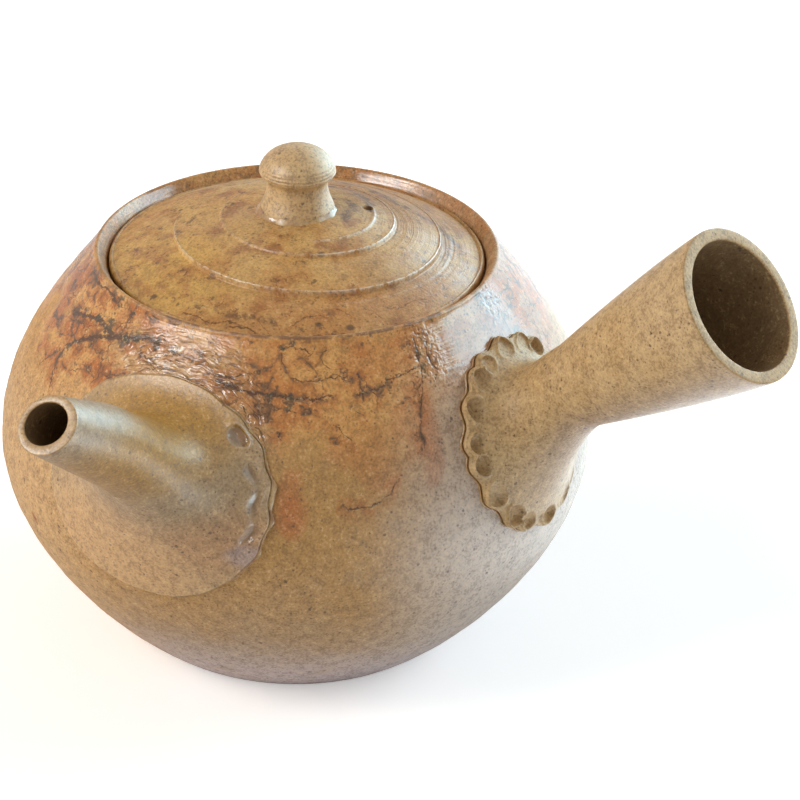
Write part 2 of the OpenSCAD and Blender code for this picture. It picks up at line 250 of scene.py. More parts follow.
def make_pot():
    """The thrown pot: a profile turned about the axis, with faint throwing ridges that climb in a spiral, a string-cut
    foot and a flat bevel inside the rim. Its marks tell how far a point is from the spout's flange."""
    out_way, in_way = np.linspace(1.0, RIM_S - 1.2, 132), np.linspace(way_at(70.8), way_at(5.0), 62)
    outer, inner = wall_profile(out_way), wall_profile(in_way, -WALL)
    lip = bend([outer[-1], [RIM_R + 0.5, RIM_H - 0.15], [RIM_R + 0.15, RIM_H + 0.1], [RIM_R - 0.3, RIM_H - 0.2]], 12)
    band = bend([lip[-1], [RIM_R - 0.75, RIM_H - 0.8], [WELL_R + 0.45, RIM_H - 1.75], [WELL_R, RIM_H - 2.7]], 9)
    well = [[WELL_R, SEAT_Z + 0.5], [WELL_R - 0.1, SEAT_Z + 0.15], [WELL_R - 0.4, SEAT_Z]]
    ledge = [[34.0, SEAT_Z], [THROAT_R + 0.6, SEAT_Z], [THROAT_R + 0.1, SEAT_Z - 0.15], [THROAT_R, SEAT_Z - 0.6],
             [THROAT_R, SEAT_Z - 2.2], [THROAT_R + 0.5, SEAT_Z - 2.6], [36.5, 70.5], [39.6, 70.0]]
    floor = bend([inner[-1], inner[-1] + [-2.0, -1.4], [29, FLOOR], [25, FLOOR]], 7)
    dish = pair(np.linspace(24, 0.6, 16), FLOOR)
    under = pair(np.linspace(0.6, 30.4, 42), 0.0)
    foot = bend([[30.6, 0], [31.9, 0], [32.0, 0.05], outer[0]], 6, 0)[:-1]
    profile = np.vstack([under, foot, outer, lip, band, well, ledge, inner, floor, dish])
    rows = turned(profile, WIDE_AROUND)
    r, bearing = polar(rows)
    first = len(under) + len(foot)
    way = np.zeros(len(profile))
    way[first:first + len(outer)] = out_way
    way[first + len(outer):first + len(outer) + len(lip)] = RIM_S
    ridge = 0.05 * wave(way[:, None], 7.1, bearing) + 0.03 * wave(way[:, None], 2.6, -bearing)
    ridge = ridge * (ease(way, 3, 10) * ease(way, RIM_S - 3, RIM_S - 9))[:, None]
    start = len(profile) - len(dish) - len(floor) - len(inner)
    within = slice(start, start + len(inner))
    groove = 0.22 * wave(in_way[:, None], 5.4, bearing[within])
    ridge[within] = -np.abs(groove) * ease(in_way, 92, 84)[:, None]
    out_r = np.interp(way, WALL_S, WALL_NR)
    out_r[within] = np.interp(in_way, WALL_S, WALL_NR)
    rows[..., :2] *= ((r + ridge * out_r[:, None]) / np.maximum(r, 1e-6))[..., None]
    # marks of the cutting string on the underside: shallow arcs about a point near the edge
    sweep = np.hypot(rows[..., 0] - 22, rows[..., 1] + 9)
    string = 0.10 * (0.5 + 0.5 * wave(sweep, 2.3, 0.6 * np.sin(sweep / 3.7)))
    rows[..., 2] += string * ease(r, 30, 27) * (np.arange(len(profile)) < len(under))[:, None]
    # places about the spout's flange, as if its edge were a circle: distance out from the edge, and along it
    aside = half_turn(bearing - SPOUT_BEARING) * r / SPOUT_FLANGE[0]
    above = (way[:, None] - SPOUT_WAY) / SPOUT_FLANGE[1]
    off_edge, angle = SPOUT_FLANGE[1] * (np.hypot(aside, above) - 1), np.arctan2(aside, above)
    reach = 11 - 7 * ease(angle, 0.25, 0.9)
    wrinkle = ease(angle, -0.8, -0.3) * ease(angle, 1.3, 0.8) * ease(off_edge, reach, 0.4 * reach)
    pot = skin("pot_body_visual", rows, off_edge=off_edge, along_edge=SPOUT_FLANGE[1] * angle, wrinkle=wrinkle)
    on, out = off_wall(np.array([[SPOUT_BEARING, SPOUT_WAY, 0.0], [SPOUT_BEARING, SPOUT_WAY, 10.0]]))
    pierce(pot, on, out - on, TEA_HOLE_R, 30)
    return pot


# spout and handle

PHI = np.linspace(0, 2 * np.pi, TUBE_AROUND, endpoint=False)     # angle round a tube, from its top to larger bearings


def flared_tube(name, bearing, flange_way, mouth, axis, cut, outer, inner, neck, flange, bulge, press, hole, pull):
    """A hollow tube that flares into a flange on the wall, as one closed skin.

    Along the tube a ring at a distance t back from the mouth has the radius outer(t) or inner(t); the rings near the
    mouth lean so that the mouth is a plane across cut. From the neck on, cubic curves run down onto the wall: the
    outside to the flange's edge, the inside to a round hole. flange gives the edge as way across, way up and standing
    height; bulge pushes it out near the edge, and press(d) presses in or raises it at a distance d inside the edge.
    pull is, for the outside and the inside, how far a curve runs on along the tube, how far along the wall, and how
    high it stands there.
    """
    side = np.array([-math.sin(bearing), math.cos(bearing), 0])
    spoke = np.sin(PHI)[:, None] * side + np.cos(PHI)[:, None] * np.cross(axis, side)
    lean = (spoke @ cut) / (axis @ cut)
    neck = np.broadcast_to(neck, PHI.shape)

    def tube(count, size):
        """Rings at even shares of the way from the mouth's plane back to the neck."""
        t = np.linspace(0, 1, count + 1)[:-1, None]
        at = lean * size(np.zeros(TUBE_AROUND)) * (1 - t) + neck * t
        return mouth - at[..., None] * axis + size(np.maximum(at, 0))[..., None] * spoke

    def flare(size, edge, along, along_wall, stand, count, gather):
        """Rows of wall places on curves from the neck's ring to an edge."""
        ring, down = (wall_place(mouth - t[:, None] * axis + size(t)[:, None] * spoke) for t in (neck, neck + along))
        across, rise, height = edge

        def place(share, height):
            r = 0.5 * (wall_r(flange_way) + wall_r(flange_way + rise * share))
            return np.stack([bearing + across * share / r, flange_way + rise * share, height], -1)

        turn_in = place(1 - along_wall / np.hypot(across, rise), height + stand)
        t = 1 - (1 - np.linspace(0, 1, count)) ** gather
        return bezier([ring, down, turn_in, place(1.0, height)], np.broadcast_to(t[:, None], (count, TUBE_AROUND)))

    across, rise, height = flange
    length = np.hypot(across, rise)
    outside = flare(outer, flange, *pull[0], 84, 1.8)
    edge_r = wall_r(outside[-1, :, 1])
    outward = np.stack([across / length / edge_r, rise / length], -1)
    gap = np.diff(outside, axis=0)
    steps = np.sqrt((gap[..., 0] * edge_r) ** 2 + gap[..., 1] ** 2 + gap[..., 2] ** 2)
    inset = np.concatenate([np.cumsum(steps[::-1], 0)[::-1], np.zeros((1, TUBE_AROUND))])
    outside[..., :2] += (bulge * bump(inset, 0, 1.9))[..., None] * outward
    pressed = press(inset)
    outside[..., 2] = np.maximum(outside[..., 2] + pressed, SLIP + 0.1)
    edge = outside[-1].copy()
    # the edge rolls over and comes back under the flange
    roll = []
    for grow, level in ((0.18, 0.88), (0.28, 0.6), (0.24, 0.3), (0.05, 0.1)):
        place = edge.copy()
        place[:, :2] += grow * outward
        place[:, 2] = SLIP + (edge[:, 2] - SLIP) * level
        roll.append(place)
    for share in (0.3, 0.6, 0.9):
        k = 1 + (hole / length - 1) * share
        roll.append(np.stack([bearing + (edge[:, 0] - bearing) * k, flange_way + (edge[:, 1] - flange_way) * k,
                              np.full(TUBE_AROUND, SLIP)], -1))
    round_hole = (hole * np.sin(PHI), hole * np.cos(PHI), np.full(TUBE_AROUND, SLIP))
    inside = flare(inner, round_hole, *pull[1], 18, 1.0)

    count = max(8, int(neck.mean() / 1.2))
    outer_tube, inner_tube = tube(count, outer), tube(count // 2, inner)
    q = np.linspace(0, 1, 11)[1:-1, None, None]
    lip = inner_tube[0] + (outer_tube[0] - inner_tube[0]) * (0.5 - 0.5 * np.cos(np.pi * q))
    lip = lip + 0.35 * np.sin(np.pi * q) ** 0.4 * cut
    parts = [off_wall(inside[::-1]), inner_tube[::-1], lip, outer_tube, off_wall(outside), off_wall(np.stack(roll))]
    ends = np.cumsum([len(part) for part in parts])
    on_lip, on_tube, on_flare = (slice(ends[k], ends[k + 1]) for k in (1, 2, 3))
    marks = {mark: np.zeros((ends[-1], TUBE_AROUND)) for mark in ("lip", "inside", "pressed", "glaze_pool_and_sheen", "under")}
    marks["lip"][on_lip] = 1
    # painted shade: the inside of the tube is marked to be darkened in colour
    marks["inside"][:ends[1]] = 1
    # painted shade: the underside of the tube and of its flare, tinted darker in colour
    marks["under"][on_tube] = ease(-np.cos(PHI), 0.1, 1.0)
    marks["under"][on_flare] = ease(-np.cos(PHI), 0.1, 1.0) * np.linspace(1, 0, len(inset))[:, None]
    # how deep the flange is pressed; the spout's material paints shade into these hollows
    marks["pressed"][on_flare] = np.clip(-pressed, 0, 1)
    # one side wall of each thumb mark: a painted sheen there, partly a pale pooled glaze
    climb = np.gradient(pressed, axis=0) / np.minimum(np.gradient(inset, axis=0), -1e-3)
    marks["glaze_pool_and_sheen"][on_flare] = np.clip(1.4 * climb - 0.15, 0, 1)
    return skin(name, np.concatenate(parts), "loop", **marks), edge


def dimple_row(inset, places, half, radius, middle, depth, rim, slim):
    """Thumb marks pressed along a flange at angles places (degrees): oval bowls, half long along the edge, whose middles
    lie a distance inside the edge and slim times as wide. Each is deepest and steepest towards the edge and has a low
    raised rim."""
    total = np.zeros_like(inset)
    for angle, long_half, deep in zip(places, half, depth):
        along = half_turn(PHI - math.radians(angle)) * radius / long_half
        inward = (inset - middle) / (slim * long_half * np.where(inset > middle, 1.35, 1.0))
        d = np.hypot(along, inward)
        total -= deep * np.clip(1 - d ** 2, 0, 1) ** 0.7 * np.clip(1 - 0.35 * inward, 0.5, 1.4)
        total += min(rim, 0.45 * deep) * bump(d, 1.1, 0.14) * np.clip(0.8 - 0.8 * inward, 0.05, 1.4)
    return total


def around_about(angle, half):
    """A smooth hump round a tube, 1 at an angle in degrees."""
    return bump(half_turn(PHI - math.radians(angle)), 0, half)


def make_spout():
    """The spout: a slim tube cut across its mouth, widest above, that flares late and flat onto the wall. Its flange
    stands proud only on the side towards the handle, where one thumb mark runs on into a groove."""
    level = np.array([math.cos(SPOUT_BEARING), math.sin(SPOUT_BEARING), 0])
    rise = np.array([0, 0, 1.0])
    axis, cut = (level * math.cos(slope) + rise * math.sin(slope) for slope in (SPOUT_SLOPE, SPOUT_CUT))
    grow = 0.085 + 0.065 * np.cos(PHI) + 0.01 * np.sin(PHI)
    near = around_about(88, 0.75)
    flange = (SPOUT_FLANGE[0] * np.sin(PHI), SPOUT_FLANGE[1] * np.cos(PHI),
              SLIP + 0.16 + 0.3 * around_about(20, 0.9) + 0.95 * near)
    bulge = 0.12 * np.sin(7 * PHI + 0.6) + 0.08 * np.sin(17 * PHI + 2) + near * (0.3 + 0.35 * np.sin(19 * PHI + 1.2))
    run = ease(np.degrees(PHI), 60, 70) * ease(np.degrees(PHI), 124, 106) * (0.75 + 0.25 * np.sin(21 * PHI + 1.0))

    def press(inset):
        return (dimple_row(inset, [49], [2.7], 21.5, 1.7, [1.2], 0.25, 0.5)
                - 0.85 * run * bump(inset, 1.9 + 0.45 * np.sin(17 * PHI), 0.95))

    return flared_tube("spout_visual", SPOUT_BEARING, SPOUT_WAY, level * SPOUT_REACH + rise * SPOUT_MOUTH_H, axis, cut,
                       lambda t: 5.4 + 0.4 * np.cos(PHI - 2.1) + grow * t, lambda t: 3.9 + 0.04 * t,
                       21 - 5 * np.cos(PHI) - 2 * np.sin(PHI), flange, bulge, press, TEA_HOLE_R + 0.6,
                       ((11.0, 11.5, 0.7), (12.0, 2.0, 1.0)))


def make_handle():
    """The handle: a hollow tube that widens to its mouth, flaring onto the wall through a slim neck, with a row of
    thumb marks round its flange that fades out on one side."""
    start = np.array([np.interp(HANDLE_H, WALL_Z, WALL_R), 0, HANDLE_H])
    axis = np.array([math.cos(HANDLE_SLOPE), 0, math.sin(HANDLE_SLOPE)])
    tube_l = HANDLE_L - HANDLE_NECK

    def widen(mouth_r, neck_r):
        return lambda t: mouth_r - (mouth_r - neck_r) * np.minimum(t / tube_l, 1.0) ** 1.25

    radius = 17.3 + 0.2 * np.sin(2 * PHI + 1.1)
    smooth = around_about(132, 0.85)
    flange = (radius * np.sin(PHI), radius * np.cos(PHI), SLIP + 1.1 - 0.85 * smooth)
    count = np.arange(THUMB_MARKS)
    places = 360 * count / THUMB_MARKS + 3.6 * np.sin(count * 2.1) + 4
    half = 2.2 + 0.3 * np.sin(count * 1.7 + 0.5)
    bulge = (np.max([around_about(place, 0.125) for place in places], axis=0) * 1.25 - 0.3) * (1 - smooth)
    depth = (0.95 + 0.2 * np.sin(count * 2.9 + 1)) * (1 - bump(places, 132, 52))
    depth = depth * np.where((places < 40) | (places > 335), 0.6, 1.3)
    return flared_tube("handle_visual", 0.0, HANDLE_WAY, start + axis * HANDLE_L, axis, axis, widen(14.5, 8.1),
                       widen(12.2, 5.8), tube_l, flange, bulge,
                       lambda inset: dimple_row(inset, places, half, 16.6, 1.55, depth, 0.5, 0.58),
                       6.5, ((7.5, 8.5, 0.9), (6.0, 1.5, 1.0)))


def make_slip(name, bearing, flange_way, edge, hole, width, height):
    """The slip that joins a flange to the wall: a thin film under it with a ragged bead along the seam. width and
    height are the bead's, per angle round the flange."""
    across, rise = edge[:, 0] - bearing, edge[:, 1] - flange_way
    length = np.hypot(across * wall_r(edge[:, 1]), rise)
    to_hole, under, film = hole - length, -1.2, SLIP - 0.02
    bead = ((0.0, 0.0), (0.6, 0.0), (0.95, 0.02), (1.0, 0.3), (0.85, 0.72), (0.55, 0.97), (0.2, 1.0), (0.0, 0.86))
    rows = []
    for grow, level in ((to_hole, 0.0), (under, 0.0), *((0.3 + share * width, level * height) for share, level in bead),
                        (under, film), (to_hole, film)):
        k = 1 + grow / length
        rows.append(np.stack(np.broadcast_arrays(bearing + across * k, flange_way + rise * k, level), -1))
    return skin(name, off_wall(np.stack(rows)), "loop")


# lid and knob

def make_lid():
    """The lid: a shallow dome with two turned rings a little off its middle, a rounded edge and a skirt below."""
    r = np.concatenate([np.linspace(*span) for span in (
        (0.8, 11.5, 14), (12, 15.6, 16), (15.7, 17.2, 24), (17.4, 24.3, 30), (24.5, 25.9, 24), (26.1, 29.4, 24),
        (29.7, 34.9, 15))])
    lean = (2.0 * ease(r, 6, 13) * ease(r, 34.5, 28))[:, None] * [math.cos(RING_LEAN), math.sin(RING_LEAN)]
    rows = turned(pair(r, 0.0), WIDE_AROUND, lean)
    from_axis, bearing = polar(rows)
    ring = r[:, None]

    def dome(radius):
        """Height of the dome's top: a parabola from its middle down to its edge."""
        return LID_EDGE_Z + DOME * (1 - (radius / LID_R) ** 2)

    def terrace(at, height, bead):
        """A step down outside a ring at radius at, with a fine bead on its edge."""
        fall = ease(ring, at + 0.4, at + 0.02) - ease(ring, at + 6, at) * 0.5 - ease(ring, at - 6, at) * 0.5
        return height * fall + bead * bump(ring, at - 0.06, 0.2)

    front = 0.5 + 0.5 * np.cos(bearing - math.radians(PHOTO_SIDE) - 0.35)
    right = ease(np.cos(bearing - RING_LEAN), -0.6, 0.7)
    part_arc = ease(np.cos(bearing - RING_LEAN + 0.5), 0.55, 0.85)
    arcs = [bump(ring, at, 0.25) * part_arc for at in (12.6, 27.2)]
    rows[..., 2] = (dome(from_axis) + terrace(16.4, 0.6, 0.16) * (0.35 + 0.65 * right)
                    + terrace(25.2, 0.8, 0.22) * (0.45 + 0.55 * front) + 0.22 * arcs[0] + 0.05 * arcs[1]
                    + 0.012 * wave(ring, 1.55, bearing) * ease(ring, 13, 17))
    crest = bump(ring, 25.14, 0.2) * ease(front, 0.1, 0.6) + bump(ring, 16.34, 0.2) * (0.25 + 0.75 * right)
    crest = np.clip(crest + 0.9 * arcs[0] + 0.3 * arcs[1], 0, 1)
    brim = bend([[34.95, LID_EDGE_Z + 0.32], [35.4, LID_EDGE_Z + 0.1], [LID_R, LID_EDGE_Z - 0.2],
                 [LID_R, LID_EDGE_Z - 0.8]], 8, 0)
    seat = [[LID_R, LID_Z + 0.5], [LID_R - 0.15, LID_Z + 0.1], [LID_R - 0.5, LID_Z], [33.2, LID_Z], [31.5, LID_Z],
            [SKIRT_R, LID_Z - 0.4]]
    round_end = np.radians(np.linspace(0, -180, 9))
    round_end = [29.95, LID_Z - 6.9] + 1.15 * pair(np.cos(round_end), np.sin(round_end))
    hollow_r = np.linspace(28.0, 0.8, 22)
    rest = turned(np.vstack([brim, seat, pair(SKIRT_R, np.linspace(LID_Z - 1, LID_Z - 7.2, 8)), round_end,
                             pair(SKIRT_IN_R, np.linspace(LID_Z - 6, LID_Z - 0.2, 7)),
                             pair(hollow_r, dome(hollow_r) - LID_T + 0.1 * wave(hollow_r, 4.2))]), WIDE_AROUND)
    lid = skin("lid_visual", np.concatenate([rows, rest]), crest=np.concatenate([crest, np.zeros(rest.shape[:2])]))
    vent = np.array([VENT_FROM_MIDDLE * math.cos(VENT_BEARING), VENT_FROM_MIDDLE * math.sin(VENT_BEARING), 82.0])
    pierce(lid, vent, [0, 0, 1], VENT_R, 16)
    return lid


def make_knob():
    """The knob: a waisted neck and a cap with a crisp brim and fine turning lines."""
    base, top = KNOB_Z, KNOB_Z + KNOB_TALL
    neck = bend([[7.1, base + 0.05], [6.9, base + 1.6], [5.8, base + 2.6], [5.65, base + 5.4]], 26, 0)
    under = bend([neck[-1], [5.65, base + 6.3], [6.2, base + 6.7], [6.9, base + 7.2]], 12)
    brim = bend([under[-1], [7.2, base + 7.45], [7.22, base + 8.0], [7.05, base + 8.6]], 12)
    cap = bend([brim[-1], [6.3, base + 11.0], [3.8, top - 0.2], [0.15, top - 0.2]], 48)
    rows = turned(np.vstack([pair(np.linspace(0.5, 7.0, 8), base), neck, under, brim, cap]), KNOB_AROUND)
    (r, bearing), z = polar(rows), rows[..., 2]
    lines = 0.07 * wave(z, 0.62, 0.5 * np.sin(bearing)) + 0.03 * wave(z, 0.37, -bearing)
    lines = lines * ease(z, base + 6.6, base + 7.3) * ease(z, base + 10.4, base + 8.8)
    rows[..., :2] *= ((r + lines) / r)[..., None]
    return skin("knob_visual", rows)


def make_knob_slip():
    """The slip under the knob: a thin round film that rises in a soft fillet round the knob's foot."""
    z = KNOB_Z
    fillet = bend([[8.3, z - 0.75], [7.7, z - 0.3], [7.35, z - 0.05], [6.95, z + 0.75]], 14, 0)
    profile = np.vstack([[[0.5, z - SLIP], [5.0, z - SLIP], [7.0, z - 0.8], [8.1, z - 0.9]], fillet,
                         [[6.6, z + 0.8], [6.3, z + 0.6], [6.0, z - 0.02], [4.0, z - 0.02], [0.5, z - 0.02]]])
    rows = turned(profile, KNOB_AROUND)
    bearing = polar(rows)[1]
    uneven = 1 + 0.02 * np.sin(5 * bearing + 1) + 0.012 * np.sin(13 * bearing)
    rows[..., :2] *= np.where((profile[:, 0] > 6.6)[:, None], uneven, 1.0)[..., None]
    return skin("knob_slip_visual", rows)


pot = make_pot()
spout, spout_edge = make_spout()
handle, handle_edge = make_handle()
lid = make_lid()
knob = make_knob()
knob_bead = make_knob_slip()

ragged = np.clip(0.5 + 0.3 * np.sin(9 * PHI + 1) + 0.25 * np.sin(23 * PHI) + 0.15 * np.sin(41 * PHI + 2), 0, 1.2)
pressed_side = around_about(92, 0.6)
spout_bead = make_slip("spout_slip_visual", SPOUT_BEARING, SPOUT_WAY, spout_edge, TEA_HOLE_R + 0.3,
                       0.15 + 0.2 * ragged + pressed_side * (0.25 + 0.6 * ragged),
                       0.12 + 0.1 * ragged + pressed_side * (0.3 + 0.5 * ragged))
handle_bead = make_slip("handle_slip_visual", 0.0, HANDLE_WAY, handle_edge, 6.2,
                        0.15 + 0.2 * ragged, 0.2 + 0.15 * ragged)

for piece, body, slot, nodes in ((pot, "pot", "fired_clay", ("pot_body",)), (spout, "pot", "matte_clay", ("spout",)),
                                 (handle, "pot", "matte_clay", ("handle",)), (lid, "lid", "fired_clay", ("lid",)),
                                 (knob, "lid", "matte_clay", ("knob",)),
                                 (spout_bead, "pot", "slip", ("spout_slip",)),
                                 (handle_bead, "pot", "slip", ("handle_slip",)),
                                 (knob_bead, "lid", "slip", ("knob_slip",))):
    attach(piece, body)
    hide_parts(*nodes)


# shading helpers

class Wire:
    """A value in a node tree. The signs of arithmetic work on it, and each adds a Math node."""

    def __init__(self, sheet, socket):
        self.sheet, self.socket = sheet, socket

    def __add__(self, other):
        return self.sheet.math("ADD", self, other)

    def __sub__(self, other):
        return self.sheet.math("SUBTRACT", self, other)

    def __rsub__(self, other):
        return self.sheet.math("SUBTRACT", other, self)

    def __mul__(self, other):
        return self.sheet.math("MULTIPLY", self, other)

    def __rtruediv__(self, other):
        return self.sheet.math("DIVIDE", other, self)

    def __pow__(self, other):
        return self.sheet.math("POWER", self, other)

    def __abs__(self):
        return self.sheet.math("ABSOLUTE", self)


class Sheet:
    """Adds nodes to a tree and links them: a number, a colour or a wire may feed any input."""

    def __init__(self, tree):
        self.tree = tree

    def feed(self, socket, value):
        if isinstance(value, Wire):
            self.tree.links.new(value.socket, socket)
        else:
            socket.default_value = value

    def node(self, kind, feeds=None, **settings):
        node = self.tree.nodes.new("ShaderNode" + kind)
        for key, value in settings.items():
            setattr(node, key, value)
        for key, value in (feeds or {}).items():
            self.feed(node.inputs[key], value)
        return node

    def outs(self, node):
        """A node's outputs by name."""
        return {socket.name: Wire(self, socket) for socket in node.outputs}

    def add(self, kind, feeds=None, out=0, **settings):
        """Adds a node and gives one of its outputs."""
        return Wire(self, self.node(kind, feeds, **settings).outputs[out])

    def math(self, operation, *values):
        return self.add("Math", dict(enumerate(values)), operation=operation)

    def larger(self, first, second):
        return self.math("MAXIMUM", first, second)

    def smaller(self, first, second):
        return self.math("MINIMUM", first, second)

    def vector(self, operation, *values, out=0):
        return self.add("VectorMath", dict(enumerate(values)), out, operation=operation)

    def mark(self, name):
        """A value that the mesh keeps per point."""
        return self.add("Attribute", out="Fac", attribute_name=name)

    def step(self, value, low, high, to=(0.0, 1.0)):
        """A smooth step from low to high; low may be the larger of the two."""
        return self.add("MapRange", {0: value, 1: low, 2: high, 3: to[0], 4: to[1]}, interpolation_type="SMOOTHSTEP")

    def noise(self, point, size, detail=2.0, rough=0.5, out=0):
        return self.add("TexNoise", {"Vector": point, "Scale": 1.0 / size, "Detail": detail, "Roughness": rough}, out)

    def layers(self, colour, *coats):
        """Lays coats over a colour in turn, each given as its share and its colour."""
        for share, tint in coats:
            first, second = (c if isinstance(c, Wire) else (*c, 1.0) for c in (colour, tint))
            colour = self.add("Mix", {0: share, 6: first, 7: second}, 2, data_type="RGBA")
        return colour

    def use(self, group, **feeds):
        """Adds a shared node group and gives its outputs by name."""
        return self.outs(self.node("Group", feeds, node_tree=group))


def shared(name, inputs, outputs):
    """A new node group with named inputs (None for a point, else a number) and outputs (kind): gives its sheet, its
    inputs, and a function that takes its outputs and gives the group."""
    tree = bpy.data.node_groups.new(name, "ShaderNodeTree")
    for label, value in inputs.items():
        kind = "NodeSocketVector" if value is None else "NodeSocketFloat"
        socket = tree.interface.new_socket(label, in_out="INPUT", socket_type=kind)
        if value is not None:
            socket.default_value = value
    for label, kind in outputs.items():
        tree.interface.new_socket(label, in_out="OUTPUT", socket_type="NodeSocket" + kind)
    s = Sheet(tree)
    ends = tree.nodes.new("NodeGroupOutput").inputs

    def send(**values):
        for label, value in values.items():
            s.feed(ends[label], value)
        return tree

    return s, s.outs(tree.nodes.new("NodeGroupInput")), send


def make_place():
    """Where a point is: in millimetres turned so that the photographed side is ahead, its turn, height and radius."""
    s, _, send = shared("place_on_pot", {}, {"Point": "Vector", "Turn": "Float", "Height": "Float", "Radius": "Float"})
    point = s.add("Mapping", {"Vector": s.add("TexCoord", out="Object"), "Rotation": (0, 0, math.radians(-PHOTO_SIDE)),
                              "Scale": (1000, 1000, 1000)}, vector_type="POINT")
    x, y, z = s.outs(s.node("SeparateXYZ", {0: point})).values()
    return send(Point=point, Turn=s.math("ARCTAN2", y, x) * (180 / math.pi), Height=z,
                Radius=s.math("SQRT", x * x + y * y))


def make_speckle():
    """Iron specks: uneven dots in a share of the cells of a point pattern, each with its own size."""
    s, i, send = shared("speckle", {"Point": None, "Spacing": 1.2, "Share": 0.4, "Size": 0.25}, {"Speck": "Float"})
    cells = s.outs(s.node("TexVoronoi", {"Vector": i["Point"], "Scale": 1.0 / i["Spacing"]}, feature="F1"))
    tint = s.outs(s.node("SeparateColor", {0: cells["Color"]}))
    size = i["Size"] * (tint["Green"] * 0.9 + 0.3)
    dot = s.add("MapRange", {0: cells["Distance"], 1: size, 2: size * 0.55, 3: 0.0, 4: 1.0})
    return send(Speck=dot * s.math("LESS_THAN", tint["Red"], i["Share"]))


def make_grain():
    """The clay's own surface: fine sand grain as a height in millimetres, a sandy change of shade, and slow changes
    of tone."""
    s, i, send = shared("clay_grain", {"Point": None}, {name: "Float" for name in ("Grain", "Sand", "Tone", "Cloud")})
    point = i["Point"]
    fine, coarse = s.noise(point, 0.5, 2.0, 0.6), s.noise(point, 1.9, 1.0)
    return send(Grain=fine * 0.06 + coarse * 0.06, Sand=fine * 0.65 + coarse * 0.35,
                Tone=s.noise(point, 8.0, 3.0, 0.55), Cloud=s.noise(point, 27.0))


def make_lines():
    """Fine lines left by the wheel: noise drawn out round the axis, as a height from 0 to 1."""
    s, i, send = shared("wheel_lines", {"Point": None}, {"Lines": "Float"})
    broad = s.vector("MULTIPLY", i["Point"], (0.05, 0.05, 1.6))
    fine = s.vector("MULTIPLY", i["Point"], (0.08, 0.08, 4.5))
    return send(Lines=s.noise(fine, 1.0, 1.0) * 0.45 + s.noise(broad, 1.0) * 0.55)


def make_net():
    """A net of fired lines: the distance in millimetres to the edges of a cell pattern whose space is bent twice,
    grown where a slow noise shuts the net off."""
    s, i, send = shared("fired_net", {"Point": None, "Cell": 9.0, "Open": 0.5}, {"Reach": "Float"})
    point = i["Point"]
    for size, by in ((8.0, 7.0), (1.5, 1.5)):
        off = s.vector("SUBTRACT", s.noise(i["Point"], size, 3.0, out="Color"), (0.5, 0.5, 0.5))
        point = s.vector("MULTIPLY_ADD", off, (by, by, by), point)
    edge = s.add("TexVoronoi", {"Vector": point, "Scale": 1.0 / i["Cell"]}, "Distance", feature="DISTANCE_TO_EDGE")
    shut = s.step(s.noise(i["Point"], 6.5) - i["Open"], 0.08, -0.06, (0.0, 3.0))
    return send(Reach=edge * i["Cell"] + shut)


PLACE, SPECKLE, GRAIN, LINES, NET = make_place(), make_speckle(), make_grain(), make_lines(), make_net()
FAR_OFF = 9.0                           # distance in millimetres that is too far for any mark to show


def strokes(s, along, across, reach, lines, scale=1.0):
    """Adds drawn lines, each with its half width, to a running distance: a curve gives a line's place across at each
    place along; the line thins to nothing at its ends."""
    for points, width in lines:
        points = np.asarray(points, float)
        start, end = points[0, 0], points[-1, 0]
        low, span = points[:, 1].min() - 1, np.ptp(points[:, 1]) + 2
        t = s.add("MapRange", {0: along, 1: float(start), 2: float(end)}, clamp=False)
        curve = s.node("FloatCurve", {"Value": t})
        line = curve.mapping.curves[0]
        shares = pair((points[:, 0] - start) / (end - start), (points[:, 1] - low) / span)
        line.points[0].location, line.points[1].location = shares[0], shares[-1]
        for share in shares[1:-1]:
            line.points.new(*share)
        curve.mapping.update()
        off = abs(s.outs(curve)["Value"] * float(span) + (float(low) - across)) * scale
        ends = s.smaller(abs(t * 2.0 - 1.0), 3.0)
        reach = s.smaller(reach, ends ** 16.0 + (off - width))
    return reach


def blots(s, along, across, places):
    """The distance in millimetres to the nearest of many round blots, given as turn, height and half size."""
    here = s.add("CombineXYZ", {0: along * 0.78, 1: across * 1.3})
    reach = FAR_OFF
    for turn, height, size in places:
        gap = s.vector("DISTANCE", here, (0.78 * turn, 1.3 * height, 0.0), out="Value")
        reach = s.smaller(reach, gap - size)
    return reach


# drawn lines of the firing on the pot, as (turn, height) along lines that run round it
ROUND_LINES = [
    ([(-21, 71.2), (-15, 70.4), (-10, 69.8), (-5, 69.8), (0, 69.4), (5, 69.3), (10, 69.6)], 0.16),
    ([(12, 69), (16, 69.6), (20, 70), (24, 71), (28, 71.4), (33, 72)], 0.07),
    ([(-21, 71.6), (-16, 71.7), (-13, 72.2), (-9, 73.3)], 0.07),
    ([(-2, 72.8), (0, 71.9), (5, 71.8), (8, 72.1), (10, 72.2), (12, 71.6), (15, 71.5)], 0.07),
    ([(-5, 75.6), (-3, 76.6), (1, 76.4), (4, 75.7)], 0.07),
    ([(-68, 65.5), (-60, 69.6), (-55, 71.3), (-50, 72.4), (-45, 73.4), (-41, 74.2), (-37, 74)], 0.34),
    ([(-74, 70.5), (-66, 71.8), (-61, 72.8), (-56, 72.6), (-51, 72.0)], 0.34),
    ([(-80, 77.4), (-72, 76.6), (-64, 77), (-56, 76.4)], 0.16),
    ([(7.6, 51.2), (8.2, 52.1), (10, 52), (13, 51.9), (16, 52.6), (19, 54.6), (21, 57)], 0.07),
    ([(-43, 72), (-38, 71.4), (-32, 73.6), (-27, 73)], 0.07),
    ([(8, 65.2), (10, 64), (12, 62.6)], 0.07),
    ([(60, 76.5), (66, 74.6), (72, 75), (80, 73)], 0.07),
]
